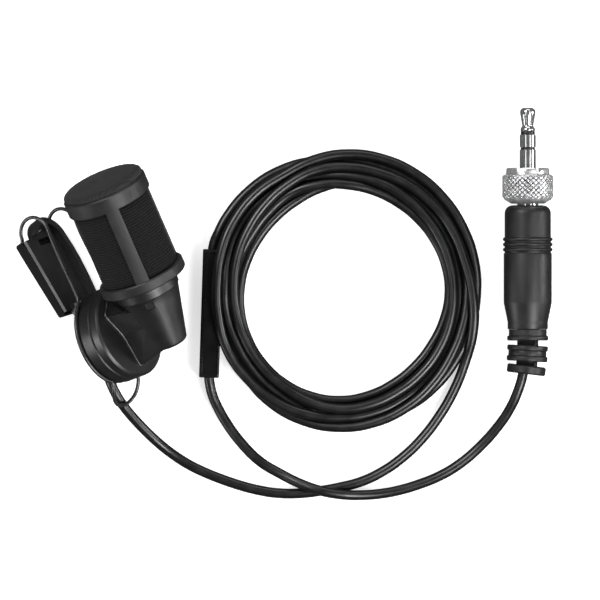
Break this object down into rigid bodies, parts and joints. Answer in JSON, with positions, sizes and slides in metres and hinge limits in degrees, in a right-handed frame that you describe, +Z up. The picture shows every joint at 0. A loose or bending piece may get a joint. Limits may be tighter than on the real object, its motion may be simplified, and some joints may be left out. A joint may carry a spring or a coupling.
{
  "type": "lavalier microphone",
  "caption": "Lapel microphone with a caged windscreen on a swivel spring clip, with a coiled cable ending in a screw-locking jack plug.",
  "frame": {"origin": "on the surface the microphone lies on, under the middle of the box round the microphone head and its clip, without the cable", "axes": "+Z up from the surface, +Y the way the jack points, +X from the microphone towards the plug"},
  "size_m": [0.1161, 0.0849, 0.0391],
  "materials": {
    "shell_plastic": "moulded plastic with a fine satin grain, softly rubbed on the edges",
    "cage_plastic": "moulded plastic, satin",
    "knit_fabric": "fine ribbed knit",
    "foam": "open foam",
    "black_wire": "spring steel wire with a semi-gloss black coating",
    "cable_jacket": "smooth flexible jacket, satin sheen",
    "sleeve_plastic": "moulded hard sleeve, semi-gloss",
    "plug_rubber": "moulded rubber-like plastic, fine grain",
    "bright_metal": "polished nickel plating",
    "insulator_black": "black moulded insulator",
    "brass": "turned brass",
    "steel": "stamped steel",
    "capsule_rubber": "soft rubber",
    "film": "metallised film",
    "board": "green circuit board",
    "ring_plastic": "white moulded insulator",
    "lead_plastic": "insulated lead"
  },
  "bodies": {
    "root": {"clip_base": "shell_plastic", "spring_wire": "black_wire", "base_cap": "shell_plastic", "cable_gland": "plug_rubber", "friction_washer": "steel", "cable_mic_run": "cable_jacket", "cable_coil": "cable_jacket", "cable_coil_lead": "cable_jacket", "cable_sleeve": "sleeve_plastic", "cable_plug_run": "cable_jacket", "plug_body": "plug_rubber", "strain_relief": "plug_rubber", "shield_can": "steel", "cable_crimp": "brass", "plug_leads": "lead_plastic", "jack_sleeve": "bright_metal", "jack_ring": "bright_metal", "jack_tip": "bright_metal", "front_insulator": "insulator_black", "rear_insulator": "insulator_black"},
    "head": {"elbow_body": "shell_plastic", "swivel_hub": "brass", "retaining_ring": "steel", "lead_wires": "lead_plastic", "capsule_holder": "capsule_rubber", "capsule_can": "steel", "capsule_grille": "steel", "diaphragm": "film", "backplate": "brass", "capsule_insulator": "ring_plastic", "preamp_board": "board"},
    "windscreen": {"windscreen_cage": "cage_plastic", "windscreen_fabric": "knit_fabric", "foam_liner": "foam"},
    "jaw": {"clip_jaw": "shell_plastic"},
    "nut": {"locking_nut": "bright_metal"}
  },
  "joints": [
    {"name": "head_swivel", "type": "hinge", "parent": "root", "child": "head", "pos_m": [0.0022, -0.0109, 0.0127], "axis": [0.7301, 0.2831, 0.6219], "range_deg": [-45, 150]},
    {"name": "windscreen_pull", "type": "slide", "parent": "head", "child": "windscreen", "axis": [-0.3806, 0.8851, 0.2678], "range_m": [0, 0.025]},
    {"name": "jaw_hinge", "type": "hinge", "parent": "root", "child": "jaw", "pos_m": [-0.01378, 0.00917, 0.00554], "axis": [0.592, 0.1924, -0.7826], "range_deg": [0, 20], "stiffness_Nm_per_rad": 0.03, "springref_deg": -17.19},
    {"name": "nut_spin", "type": "hinge", "parent": "root", "child": "nut", "pos_m": [0.0921, 0.0174, 0.0055], "axis": [0, 1, 0], "continuous": true}
  ]
}
